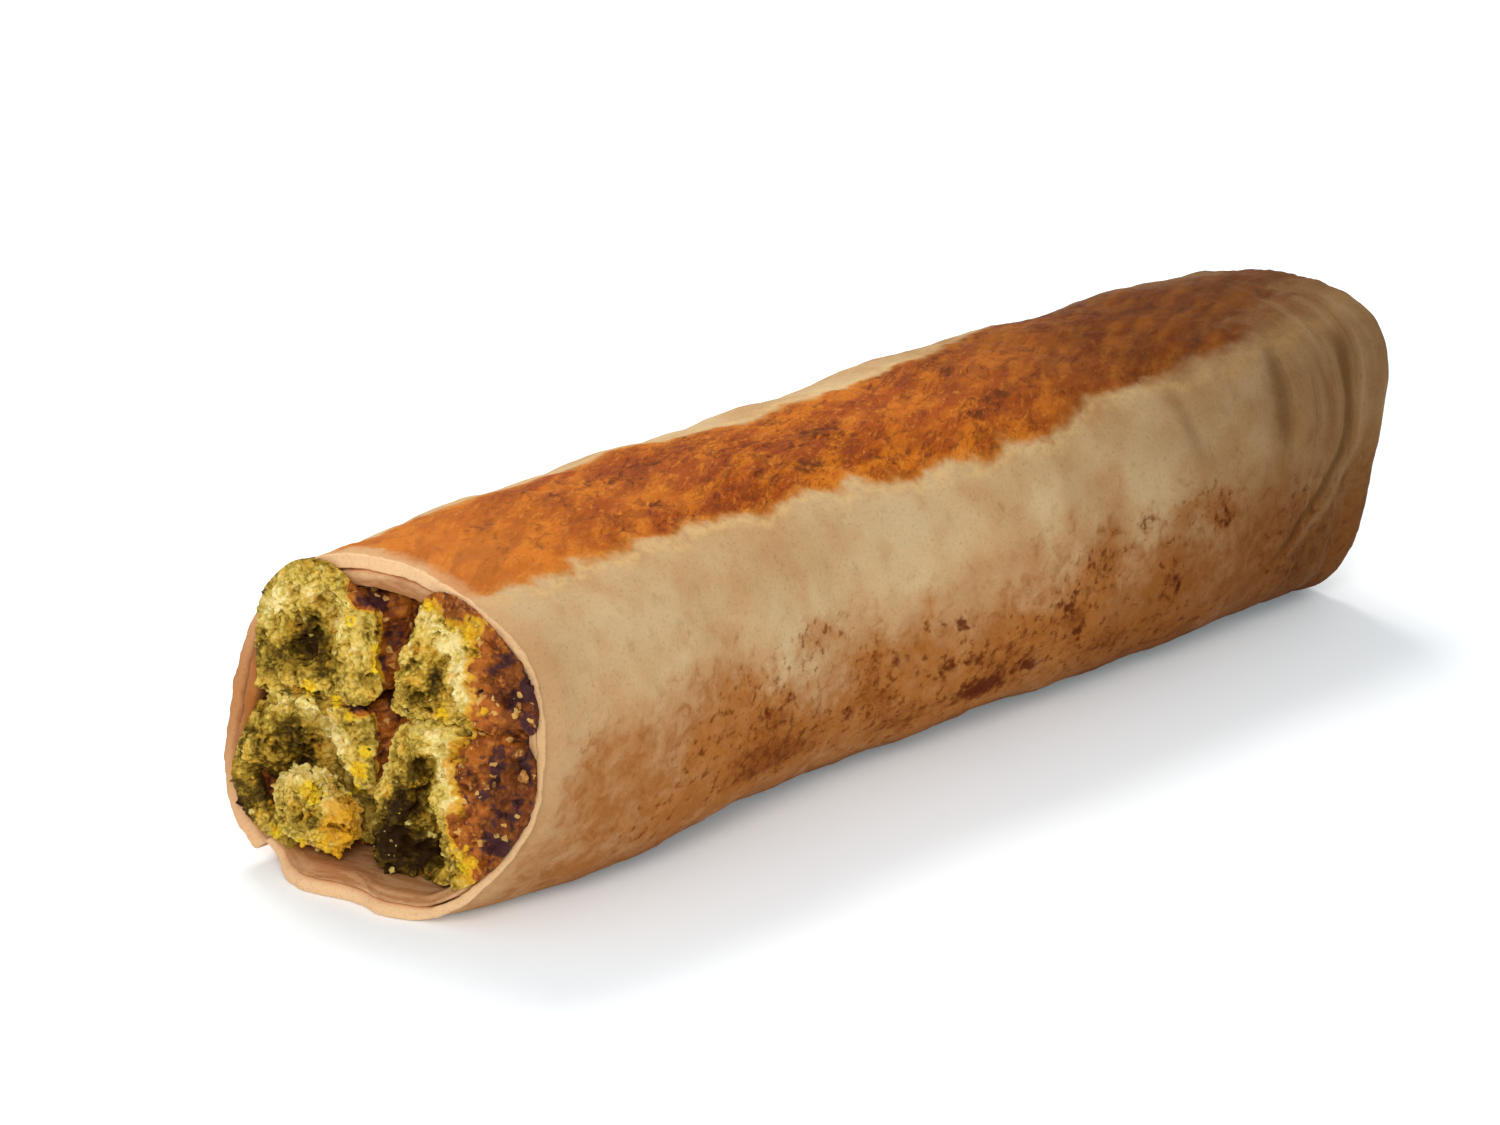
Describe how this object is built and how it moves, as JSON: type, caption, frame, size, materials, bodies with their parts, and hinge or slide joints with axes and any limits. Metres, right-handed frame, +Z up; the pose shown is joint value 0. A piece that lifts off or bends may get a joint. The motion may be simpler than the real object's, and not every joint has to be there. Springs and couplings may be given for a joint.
{
  "type": "falafel wrap",
  "caption": "Toasted flatbread roll folded shut at one end and cut open at the other, filled with broken falafel.",
  "frame": {"origin": "centre of the bounding box's bottom face, under the middle of the roll on the surface it lies on", "axes": "+X along the roll from the cut mouth to the folded end, +Y towards the back with the sheet's outer edge, +Z up"},
  "size_m": [0.2154, 0.0622, 0.0547],
  "materials": {
    "toasted_bread": "soft matte toasted flatbread with darker orange-brown patches",
    "falafel": "rough crumb, yellow-green inside with a red-brown fried crust"
  },
  "bodies": {
    "root": {"flatbread": "toasted_bread", "falafel_upper_back": "falafel", "falafel_upper_front": "falafel", "falafel_lower_back": "falafel", "falafel_lower_front": "falafel", "falafel_crumb": "falafel"}
  },
  "joints": []
}
